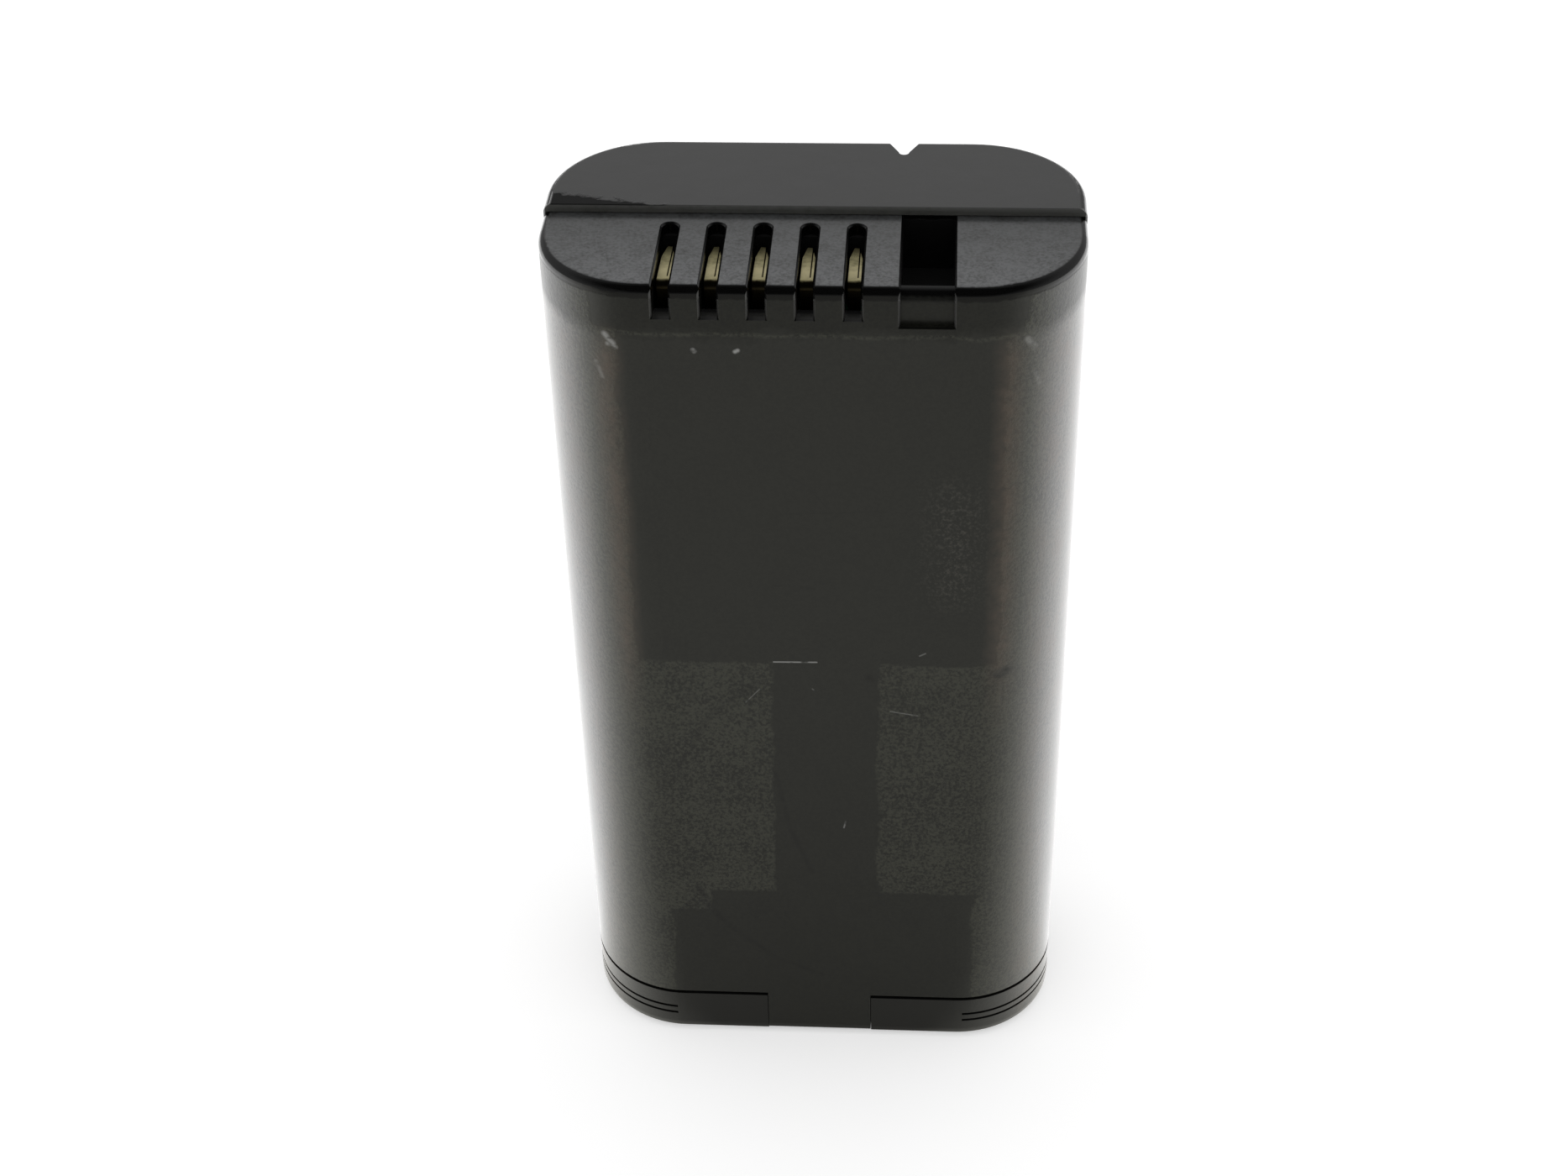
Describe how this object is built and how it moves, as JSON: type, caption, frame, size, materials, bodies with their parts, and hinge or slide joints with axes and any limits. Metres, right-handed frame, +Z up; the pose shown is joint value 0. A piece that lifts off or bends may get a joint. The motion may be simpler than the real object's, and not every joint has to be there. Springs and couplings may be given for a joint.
{
  "type": "battery pack",
  "caption": "Flat upright battery pack in a moulded case with rounded ends, spring contacts in a row of open slots at the top, a key slot beside them and a clipped end cap.",
  "frame": {"origin": "centre of the underside", "axes": "+Z up along the cells, -Y towards the side with the contact slots, +X to the right seen from that side"},
  "size_m": [0.041, 0.022, 0.0777],
  "materials": {
    "case_plastic": "fine spark-eroded grain, worn and lightly scratched",
    "cap_plastic": "smooth satin",
    "block_plastic": "black moulded insulator",
    "contact_gold": "gold-plated strip",
    "board": "green solder resist on glass epoxy",
    "carrier_plastic": "natural moulded plastic",
    "chip_body": "black moulding compound with tinned leads",
    "ceramic_dark": "coated metal strip resistor",
    "ceramic_pale": "pale ceramic",
    "ceramic_tan": "tan ceramic",
    "epoxy": "black epoxy bead",
    "cell_steel": "nickel-plated steel",
    "cell_sleeve": "heat-shrunk film",
    "ring_card": "white fibre",
    "nickel": "rolled nickel strip",
    "lead_insulation": "red silicone insulation",
    "insulating_card": "fish paper",
    "foam": "closed-cell foam"
  },
  "bodies": {
    "root": {"front_shell": "case_plastic", "back_shell": "case_plastic", "end_cap": "cap_plastic", "contact_block": "block_plastic", "contact_1": "contact_gold", "contact_2": "contact_gold", "contact_3": "contact_gold", "contact_4": "contact_gold", "contact_5": "contact_gold", "circuit_board": "board", "board_carrier": "carrier_plastic", "gauge_chip": "chip_body", "switch_transistor_1": "chip_body", "switch_transistor_2": "chip_body", "sense_resistor": "ceramic_dark", "safety_fuse": "ceramic_pale", "chip_parts": "ceramic_tan", "thermistor": "epoxy", "cell_left": "cell_steel", "cell_right": "cell_steel", "cell_left_sleeve": "cell_sleeve", "cell_right_sleeve": "cell_sleeve", "cell_left_ring": "ring_card", "cell_right_ring": "ring_card", "cell_link_strip": "nickel", "positive_tab": "nickel", "negative_tab": "nickel", "balance_lead": "lead_insulation", "top_insulator": "insulating_card", "bottom_insulator": "insulating_card", "foam_pad": "foam"}
  },
  "joints": []
}
